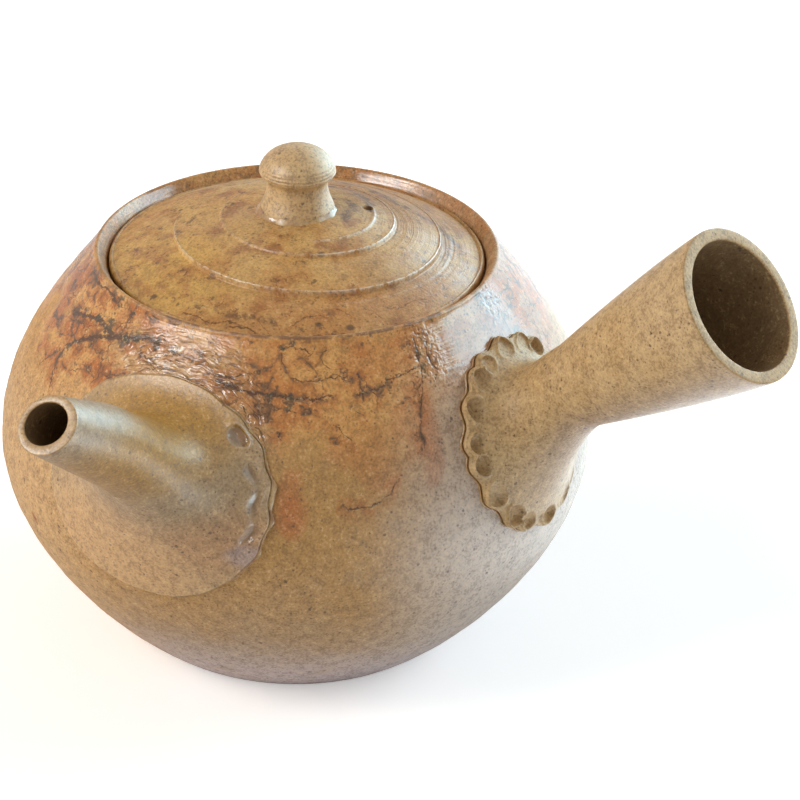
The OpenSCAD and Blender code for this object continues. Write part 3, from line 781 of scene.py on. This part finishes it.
# and as (height, turn) along lines that run up it
UP_LINES = [
    ([(58.6, 25.4), (60, 27.2), (62.5, 27), (65, 28), (67.5, 29.4), (70, 31), (74, 32), (77.5, 31)], 0.07),
    ([(68, 15.6), (69.5, 15.4), (71.4, 15.6)], 0.07),
    ([(72.8, -2), (74, -3), (75.8, -4)], 0.07),
    ([(59, -63), (62, -65.4), (64, -66), (66.5, -65.8)], 0.16),
    ([(60, -73), (63, -70), (66, -67)], 0.07),
    ([(62.8, -3), (63.6, -3.6), (64.6, -3.4)], 0.07),
    ([(66.6, -8), (67.4, -5), (68.2, -3)], 0.07),
    ([(70, 36), (73, 34.6), (77, 36)], 0.07),
]
# charcoal blots on the shoulder, as turn, height and half size
BLOTS = [(-67.5, 72.5, 0.9), (-61, 73, 1.1), (-55, 73, 1.2), (-60, 77.2, 0.8), (-56, 77.4, 0.8), (-48, 72.8, 1.3),
         (-45, 73.7, 1.2), (-43, 76.8, 0.9), (-65, 67, 0.9), (-66, 65, 0.7), (-37.5, 73.8, 0.9), (-33, 73.8, 0.8),
         (-26.5, 72.8, 0.7), (-6.5, 69.4, 1.0), (-2, 68.5, 0.9), (-1, 69.5, 0.9), (1.2, 67.8, 0.7), (-3.5, 76.6, 0.7),
         (-1.2, 77.3, 0.7), (10.5, 73.2, 0.6), (22, 70, 0.6), (32, 73.2, 0.8), (32, 71.7, 0.6), (26.2, 62.4, 0.5),
         (26.2, 59.6, 0.4), (-9.5, 72.8, 0.6), (-12, 77.2, 0.5), (-72, 76, 0.7), (-50, 76.5, 0.6), (-58, 69.5, 0.6)]
# drawn lines on the lid, as (turn, distance from the middle)
LID_LINES = [
    ([(-24, 34.2), (-16, 33.6), (-11, 34.7), (-4, 34.8), (4, 34.6), (12, 34.4), (18, 34.6)], 0.17),
    ([(-14, 31.5), (-10, 33), (-8, 34.4)], 0.07),
    ([(-40, 34.2), (-34, 33.2), (-28, 33.8), (-22, 33.0), (-15, 33.6)], 0.12),
    ([(-4, 33.8), (0, 31.5), (6, 30.2), (12, 30.8)], 0.05),
    ([(30, 30.2), (36, 31.4), (44, 31.2), (50, 32.6)], 0.06),
    ([(-36, 12), (-26, 10.6), (-14, 11.5), (-4, 9.6)], 0.05),
    ([(70, 31.5), (76, 32.6), (83, 32)], 0.07),
    ([(14, 29), (18, 30.5), (20, 32.4)], 0.07),
    ([(24, 29.5), (27, 31), (29, 33)], 0.07),
]
# broad smears on the lid
LID_SMEARS = [
    ([(88, 31), (100, 28), (112, 23.5), (125, 22), (150, 22.5), (170, 24)], 0.7),
    ([(92, 13.5), (104, 14.6), (118, 15), (140, 15.5), (160, 13)], 0.8),
    ([(60, 10.4), (74, 9.6), (92, 10.2), (120, 10.8)], 0.6),
    ([(-30, 30), (-22, 31.6), (-14, 31), (-6, 32)], 0.4),
]


def wander(s, point, turn, across, by):
    """A turn and a second place shaken by noise, so that a drawn line is jagged."""
    shake = s.outs(s.node("SeparateColor", {0: s.noise(point, 1.7, 4.0, 0.65, "Color")}))
    return turn + (shake["Red"] * (2.2 * by) - 1.1 * by), across + (shake["Green"] * (2.0 * by) - 1.0 * by)


def finish_coat(name, sheen=0.5):
    """A new material with its sheet and its Principled shader."""
    material = bpy.data.materials.new(name)
    material.use_nodes = True
    coat = next(n for n in material.node_tree.nodes if n.type == "BSDF_PRINCIPLED")
    coat.inputs["Specular IOR Level"].default_value = sheen
    return material, Sheet(material.node_tree), coat


def dress(s, coat, colour, rough, height):
    """Feeds a shader: colour, roughness and a surface height in millimetres."""
    s.feed(coat.inputs["Base Color"], colour)
    s.feed(coat.inputs["Roughness"], rough)
    s.feed(coat.inputs["Normal"], s.add("Bump", {"Height": height, "Distance": MM, "Strength": 1.0}))


def specks(s, point, sand, colour, strength=1.0):
    """Sandy light and dark and three sizes of dark iron specks over a colour."""
    colour = s.layers(colour, (s.step(sand, 0.55, 0.36, (0.0, 0.5 * strength)), (0.15, 0.08, 0.032)),
                      (s.step(sand, 0.54, 0.70, (0.0, 0.42 * strength)), (0.78, 0.55, 0.28)))
    jag = s.vector("MULTIPLY_ADD", s.noise(point, 0.4, 1.0, out="Color"), (0.4, 0.4, 0.4), point)
    for spacing, share, size, amount in ((0.62, 0.34, 0.36, 0.55), (1.5, 0.34, 0.24, 0.7), (3.6, 0.22, 0.12, 0.75)):
        dots = s.use(SPECKLE, Point=jag, Spacing=spacing, Share=share, Size=size)["Speck"]
        colour = s.layers(colour, (dots * (amount * strength), (0.062, 0.038, 0.026)))
    return colour


def patch(s, first, second, middle, half):
    """1 in the middle of a soft oval patch and 0 outside it, in two coordinates."""
    a, b = ((value - float(m)) * (1 / h) for value, m, h in zip((first, second), middle, half))
    return s.step(a * a + b * b, 1.0, 0.0)


def make_pot_clay():
    """The pot: sandy tan below, ochre on the belly, and on the shoulder thin dark fired lines with rust about them
    under a natural gloss, crinkled in two places with painted shade in their creases. A painted reflection pales the
    foot, and a painted sheen, partly a pale bloom, greys the lower right. The far side fades back into the tan behind
    the pot."""
    material, s, coat = finish_coat("pot_clay", 0.38)
    place = s.use(PLACE)
    point, turn, height, radius = (place[name] for name in ("Point", "Turn", "Height", "Radius"))
    grain = s.use(GRAIN, Point=point)
    tone = grain["Tone"]
    level = height + (grain["Cloud"] * 26.0 + (tone * 14.0 - 20.0))
    behind = s.step(turn, 100.0, 165.0)
    left = s.larger(s.step(turn, -30.0, -58.0), behind)
    far = s.step(turn, 52.0, 66.0) - behind
    shoulder = s.step(level, 57.0, 70.0)
    # a pale grey patch on the lower right: painted sheen of the window and of the bright table below, partly a pale
    # bloom of the clay
    grey_bloom_and_sheen = patch(s, turn, height, (50, 40), (40, 48))
    tan = s.layers((0.56, 0.345, 0.16), (s.step(height, 48.0, 66.0), (0.53, 0.275, 0.08)))
    flush = s.step(s.noise(point, 8.0, 3.0, 0.6), 0.46, 0.60) * shoulder
    flush = flush * (s.larger(left, far) * 0.45 + (grey_bloom_and_sheen * -0.35 + 0.42))
    rust = (((-1.5, 54.5), (3.5, 4.5), 0.5), ((-1.0, 49.5), (4.0, 5.5), 0.65), ((14, 61), (9, 7), 0.3),
            ((28.5, 62), (4, 9), 0.4))
    wrinkle, off_edge, along_edge = (s.mark(name) for name in ("wrinkle", "off_edge", "along_edge"))
    wrinkle = wrinkle * s.step(tone, 0.24, 0.38)
    colour = s.layers(
        (0.41, 0.29, 0.19),
        (s.step(level, 12.0, 42.0), (0.455, 0.245, 0.07)),
        # painted reflection: paler and greyer towards the foot, standing in for the bright table that the low wall
        # reflects
        (s.step(height, 24.0, 3.0, (0.0, 0.9)), (0.60, 0.51, 0.52)),
        (s.step(tone, 0.5, 0.72, (0.0, 0.4)), (0.40, 0.27, 0.15)),
        (s.larger(s.step(turn, -28.0, -60.0), behind) * 0.95, tan),
        (shoulder * 0.85, (0.68, 0.35, 0.105)),
        # painted sheen greying the lower right, partly a pale bloom
        (grey_bloom_and_sheen * 0.74, (0.54, 0.47, 0.42)),
        (far * s.step(height, 56.0, 70.0) * 0.8, (0.40, 0.235, 0.16)),
        ((s.step(turn, 56.0, 74.0) - behind) * s.step(height, 62.0, 54.0, (0.0, 0.5)), (0.36, 0.30, 0.25)),
        (flush, (0.44, 0.12, 0.014)),
        *((patch(s, turn, level, middle, half) * amount, (0.46, 0.13, 0.03)) for middle, half, amount in rust),
        (wrinkle * 0.55, (0.45, 0.28, 0.13)))

    jag_turn, jag_height = wander(s, point, turn, height, 1.0)
    reach = strokes(s, jag_turn, jag_height, FAR_OFF, ROUND_LINES)
    reach = strokes(s, jag_height, jag_turn, reach, UP_LINES, 0.85)
    open_here = s.larger(left, far) * -0.16 + (shoulder * -0.37 + 0.83)
    squat = s.vector("MULTIPLY", point, (1.0, 1.0, 1.3))
    net = s.smaller(s.use(NET, Point=point, Cell=10.0, Open=open_here)["Reach"],
                    s.use(NET, Point=squat, Cell=4.6, Open=open_here + 0.04)["Reach"])
    fray = s.noise(point, 0.9)
    reach = s.smaller(reach, net) + (fray * 0.44 - 0.2)
    ember = s.noise(point, 3.6, 3.0, 0.6)
    blot = blots(s, *wander(s, point, turn, height, 2.6), BLOTS) + (fray * 2.0 - 1.0)
    halo = s.step(s.smaller(reach, s.larger(blot, 0.0)), 3.0, 0.0) * s.step(ember, 0.36, 0.58)
    halo = halo * (left * 0.3 + (grey_bloom_and_sheen * -0.3 + 0.6))
    clear = patch(s, turn, height, (49, 71), (11, 9)) * 4.0
    reach, blot = clear + reach, clear + blot
    on_rim = s.step(height, 75.2, 75.9) * s.step(radius, 38.6, 38.1)
    seam = s.step(height, 77.75, 78.0) * s.step(abs(turn - 4.0), 52.0, 38.0) * s.step(s.noise(point, 3.2), 0.38, 0.5)
    colour = s.layers(
        colour,
        (halo, (0.42, 0.115, 0.013)),
        (s.step(reach, 0.75, 0.05) * s.step(ember, 0.47, 0.60) * 0.8, (0.075, 0.055, 0.034)),
        (s.step(reach, 0.14, -0.02) * 0.92, (0.07, 0.024, 0.008)),
        (s.step(blot, 0.3, -0.5) * 0.88, (0.06, 0.046, 0.027)),
        (on_rim * 0.5, (0.50, 0.28, 0.09)),
        (seam * 0.8, (0.15, 0.055, 0.018)))
    colour = specks(s, point, grain["Sand"], colour)

    swell = s.noise(point, 3.0, 1.0)
    flow = s.add("CombineXYZ", {0: swell * 5.0 + off_edge * 2.1, 1: along_edge * 0.36, 2: swell * 2.0})
    fold = s.noise(flow, 1.0, 1.0, 0.45)
    crinkle = s.larger(patch(s, turn, height, (33.5, 73.5), (7, 7)), patch(s, turn, height, (64, 76), (8, 4)))
    pucker = s.noise(point, 0.8, 1.0, 0.4)
    # painted shade: the troughs of the wrinkles and the crinkles are darkened in colour
    painted_crease_shade = s.larger(wrinkle * s.step(fold, 0.44, 0.3), crinkle * s.step(pucker, 0.42, 0.3))
    colour = s.layers(colour, (painted_crease_shade * 0.9, (0.10, 0.038, 0.013)))

    glaze = s.step(turn, 34.0, 38.0) * s.step(turn, 74.0, 60.0) * s.step(tone * 3.0 + height, 69.5, 72.0)
    gloss = s.larger(s.step(level, 57.0, 68.0) * (tone * 0.8 + 0.5), glaze * 1.3)
    gloss = s.larger(gloss, s.larger(wrinkle, crinkle) * 1.2)
    gloss = gloss * (on_rim * s.step(abs(turn), 118.0, 106.0) * -0.85 + 1.0)
    gloss = s.larger(gloss, on_rim * s.step(abs(turn), 110.0, 126.0, (0.0, 1.25)))
    gloss = gloss * ((s.step(turn, 62.0, 76.0) - behind) * -0.8 + 1.0)
    rise = s.use(LINES, Point=point)["Lines"] * (shoulder * 0.06 + 0.04)
    rise = rise + grain["Grain"] * s.step(gloss, 0.8, 1.15, (1.0, 0.25))
    rise = rise + fold * (wrinkle * 0.42) + pucker * (crinkle * 0.26)
    dress(s, coat, colour, gloss * -0.40 + 0.62, rise)
    return material


def make_lid_clay():
    """The lid: warm ochre with rust smudges and dark flecks, ring crests made pale partly by wear and partly by a
    painted highlight, thin fired lines and a satin surface.
    """
    material, s, coat = finish_coat("lid_clay", 0.28)
    place = s.use(PLACE)
    point, turn, radius = (place[name] for name in ("Point", "Turn", "Radius"))
    grain = s.use(GRAIN, Point=point)
    tone = grain["Tone"]
    jag_turn, jag_radius = wander(s, point, turn, radius, 1.0)
    reach = strokes(s, jag_turn, jag_radius, FAR_OFF, LID_LINES)
    squat = s.vector("MULTIPLY", point, (1.1, 0.9, 1.3))
    net = s.use(NET, Point=squat, Cell=6.5, Open=s.step(radius, 18.0, 30.0) * -0.12 + 0.56)["Reach"]
    reach = s.smaller(reach, net) + (s.noise(point, 0.9) * 0.44 - 0.2)
    ember = s.noise(point, 2.4, 4.0, 0.65)
    flat = s.vector("MULTIPLY", point, (1.0, 1.0, 1.6))
    fleck = s.use(SPECKLE, Point=flat, Spacing=5.0, Share=0.5, Size=0.17)["Speck"]
    smear = strokes(s, jag_turn, jag_radius, FAR_OFF, LID_SMEARS)
    crest = s.mark("crest")
    # pale ring crests: partly wear, partly a painted highlight that is stronger on the side towards the handle
    crest_wear_and_highlight = crest * s.step(s.noise(point, 1.2), 0.36, 0.5) * (patch(s, turn, radius, (52, 20), (48, 16)) * 0.5 + 0.42)
    colour = s.layers(
        (0.59, 0.345, 0.115),
        (s.step(tone, 0.36, 0.66), (0.53, 0.275, 0.08)),
        (s.step(grain["Cloud"], 0.46, 0.68, (0.0, 0.6)), (0.50, 0.335, 0.15)),
        (patch(s, turn, radius, (135, 24), (62, 16)) * 0.7, (0.34, 0.13, 0.025)),
        (patch(s, turn, radius, (-62, 28), (42, 12)) * 0.6, (0.64, 0.37, 0.075)),
        (patch(s, turn, radius, (20, 30), (48, 8)) * 0.45, (0.50, 0.215, 0.06)),
        (s.step(s.noise(point, 5.5, 4.0, 0.6), 0.53, 0.68) * 0.75, (0.31, 0.12, 0.04)),
        (s.step(reach, 2.4, 0.0) * 0.45, (0.40, 0.15, 0.035)),
        (s.step(ember, 0.60, 0.67, (0.0, 0.7)), (0.13, 0.062, 0.03)),
        (fleck * 0.85, (0.10, 0.05, 0.028)),
        (s.step(smear, 0.9, -0.3) * s.step(ember, 0.36, 0.56) * 0.85, (0.13, 0.052, 0.022)),
        (s.step(reach, 0.12, -0.04) * 0.85, (0.10, 0.038, 0.014)),
        (crest_wear_and_highlight, (0.86, 0.76, 0.60)))
    colour = specks(s, point, grain["Sand"], colour, 0.8)
    rough = s.step(tone, 0.35, 0.65) * -0.14 + s.step(abs(turn), 70.0, 120.0, (0.44, 0.72)) + crest * -0.28
    unrolled = s.add("CombineXYZ", {0: turn * 0.2, 1: 0.0, 2: radius})
    dress(s, coat, colour, rough, s.use(LINES, Point=unrolled)["Lines"] * 0.10 + grain["Grain"])
    return material


def make_plain_clay(name, main, second, deep, rough, blush=(), sheen=0.25, wet=False):
    """Matte clay of the parts that were set on: two slow tones, specks and sand grain; a lip wears paler, the inside
    is darkened with painted shade and the underside of a tube is tinted with painted shade. blush names patches as
    (turn, height), half sizes, colour and amount."""
    material, s, coat = finish_coat(name, sheen)
    place = s.use(PLACE)
    point = place["Point"]
    grain = s.use(GRAIN, Point=point)
    tone = grain["Tone"]
    level = tone * 6.0 + (place["Height"] - 3.0)
    under, lip, inside, pressed = (s.mark(mark) for mark in ("under", "lip", "inside", "pressed"))
    colour = s.layers(
        main,
        (s.step(tone, 0.38, 0.66), second),
        (s.step(grain["Cloud"], 0.42, 0.68, (0.0, 0.5)), deep),
        *((patch(s, place["Turn"], level, middle, half) * amount, tint) for middle, half, tint, amount in blush),
        # painted shade on the undersides of the tubes
        (under * (0.3 if wet else 0.75), (0.33, 0.205, 0.145)),
        # painted shade inside the tubes
        (inside * 0.75, (0.17, 0.10, 0.045)),
        (lip * 0.75, (0.50, 0.30, 0.115)))
    colour = specks(s, point, grain["Sand"], colour)
    if wet:
        # painted shade: the hollows of the spout's thumb marks darkened
        colour = s.layers(colour, (s.step(pressed, 0.3, 0.9) * 0.7, (0.20, 0.10, 0.035)),
                          # painted sheen on one wall of each thumb mark, partly a pale pooled glaze
                          (s.step(s.mark("glaze_pool_and_sheen"), 0.1, 0.8) * 0.28, (0.62, 0.61, 0.58)))
    rough = s.step(pressed, 0.1, 0.4) * (-0.32 if wet else -0.06) + (tone * -0.12 + rough)
    dress(s, coat, colour, rough, s.use(LINES, Point=point)["Lines"] * 0.03 + grain["Grain"])
    return material


def make_slip_finish():
    """Smoothed slip: a paler, greyer clay with a wet-looking skin in places."""
    material, s, coat = finish_coat("slip_finish")
    point = s.use(PLACE)["Point"]
    grain = s.use(GRAIN, Point=point)
    colour = s.layers((0.36, 0.19, 0.075), (s.step(s.noise(point, 2.6, 3.0), 0.42, 0.62), (0.48, 0.31, 0.135)))
    colour = specks(s, point, grain["Sand"], colour, 0.6)
    dress(s, coat, colour, s.step(s.noise(point, 3.5), 0.4, 0.62, (0.2, 0.45)), grain["Grain"] * 0.8)
    return material


pot_clay = make_pot_clay()
lid_clay = make_lid_clay()
spout_clay = make_plain_clay(
    "spout_clay", (0.39, 0.27, 0.145), (0.40, 0.265, 0.13), (0.38, 0.25, 0.11), 0.47,
    [((-30, 66), (26, 11), (0.42, 0.215, 0.025), 0.95), ((-36, 39), (28, 17), (0.60, 0.36, 0.16), 0.95),
     ((-12, 46), (13, 9), (0.47, 0.23, 0.09), 0.6), ((-9, 43), (5, 3.5), (0.36, 0.29, 0.30), 0.6)], sheen=0.55, wet=True)
handle_clay = make_plain_clay("handle_clay", (0.525, 0.355, 0.175), (0.495, 0.32, 0.145), (0.515, 0.37, 0.215), 0.60,
                              [((68, 44), (10, 14), (0.44, 0.35, 0.26), 0.5)], sheen=0.15)
knob_clay = make_plain_clay("knob_clay", (0.60, 0.405, 0.19), (0.55, 0.34, 0.14), (0.58, 0.40, 0.21), 0.54, sheen=0.45)
sieve_clay = make_plain_clay("strainer_clay", (0.45, 0.31, 0.17), (0.42, 0.28, 0.14), (0.44, 0.31, 0.18), 0.62)
slip_finish = make_slip_finish()

for piece, material in ((pot, pot_clay), (lid, lid_clay), (spout, spout_clay), (handle, handle_clay), (knob, knob_clay),
                        (spout_bead, slip_finish), (handle_bead, slip_finish), (knob_bead, slip_finish),
                        (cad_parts["strainer"], sieve_clay), (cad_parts["strainer_slip"], slip_finish)):
    piece.data.materials.clear()
    piece.data.materials.append(material)


# floor, light and camera

def set_in_scene(thing, right, up, back, spot):
    """Puts a lamp or a camera in the scene: its own axes, which it looks against the last of, and its place."""
    place = np.eye(4)
    place[:3] = np.stack([right, up, back, spot], -1)
    thing.matrix_world = Matrix(place.tolist())
    bpy.context.scene.collection.objects.link(thing)


def make_floor():
    """A wide pale floor under the pot."""
    half = 3.0
    mesh = bpy.data.meshes.new("floor")
    mesh.from_pydata([(-half, -half, 0), (half, -half, 0), (half, half, 0), (-half, half, 0)], [], [(0, 1, 2, 3)])
    floor = bpy.data.objects.new("floor", mesh)
    bpy.context.scene.collection.objects.link(floor)
    material, s, coat = finish_coat("floor_paper")
    coat.inputs["Base Color"].default_value = (0.93, 0.93, 0.93, 1)
    coat.inputs["Roughness"].default_value = 0.9
    s.feed(coat.inputs["Emission Strength"], s.add("LightPath", out="Is Camera Ray") * 0.36)
    coat.inputs["Emission Color"].default_value = (1, 1, 1, 1)
    mesh.materials.append(material)


def lamp(name, bearing, lift, distance, size, radiance, colour, lights=True, gleams=True, flat=False):
    """A soft panel of an even brightness at a bearing and height angle from the pot, facing its middle, or lying flat on
    the floor and facing up. It lights surfaces, shows in their gloss, or does both."""
    data = bpy.data.lights.new(name, "AREA")
    data.shape, (data.size, data.size_y) = "RECTANGLE", size
    data.energy = radiance * math.pi * size[0] * size[1]
    data.color = colour
    b, e = math.radians(bearing), math.radians(lift)
    way = np.array([math.cos(b) * math.cos(e), math.sin(b) * math.cos(e), math.sin(e)])
    right = np.array([-math.sin(b), math.cos(b), 0])
    back = np.array([0, 0, -1.0]) if flat else way
    panel = bpy.data.objects.new(name, data)
    panel.visible_camera, panel.visible_diffuse, panel.visible_glossy = False, lights, gleams
    set_in_scene(panel, right, np.cross(back, right), back, way * distance + [0, 0, 0.003 if flat else 0.05])


def make_sky():
    """Even light from all round, with a white ground behind the pot."""
    world = bpy.data.worlds.new("studio")
    bpy.context.scene.world = world
    world.use_nodes = True
    s = Sheet(world.node_tree)
    back = next(n for n in world.node_tree.nodes if n.type == "BACKGROUND")
    path = s.outs(s.node("LightPath"))
    seen = s.larger(s.larger(path["Is Camera Ray"], path["Is Glossy Ray"]), path["Is Transmission Ray"])
    back.inputs["Color"].default_value = (1, 1, 1, 1)
    s.feed(back.inputs["Strength"], seen * 0.6 + 0.4)


def make_camera():
    """The photograph's view: a long lens from a little above, with a slight roll."""
    data = bpy.data.cameras.new("view")
    data.lens, data.sensor_width, data.sensor_fit = 145.2, 36.0, "HORIZONTAL"
    data.clip_start, data.clip_end = 0.01, 50
    camera = bpy.data.objects.new("view", data)
    set_in_scene(camera, [0.8317, 0.5549, 0.0194], [-0.2776, 0.3854, 0.8801], [0.4809, -0.7374, 0.4745],
                 [0.3185, -0.4515, 0.3431])
    bpy.context.scene.camera = camera


make_floor()
lamp("window", 52, 26, 1.3, (0.9, 0.6), 5.5, (0.80, 0.92, 1.0), gleams=False)
lamp("window_pane", 68, 20, 1.2, (1.62, 0.90), 11.0, (0.52, 0.83, 1.0), lights=False)
lamp("table", 25, 0, 0.13, (0.36, 0.12), 6.0, (0.75, 0.90, 1.0), lights=False, flat=True)
lamp("table_far", 84, 0, 0.45, (0.45, 0.60), 4.0, (0.75, 0.90, 1.0), lights=False, flat=True)
lamp("side_panel", -116, 42, 1.2, (0.42, 0.42), 7.0, (1.0, 0.95, 0.88), gleams=False)
lamp("side_pane", -118, 36, 1.2, (0.75, 0.30), 25.0, (0.90, 0.96, 1.0), lights=False)
lamp("left_wall", -140, 20, 1.4, (1.2, 0.9), 2.6, (1.0, 0.89, 0.75), gleams=False)
make_sky()
make_camera()
bpy.context.scene.view_settings.view_transform = "Standard"
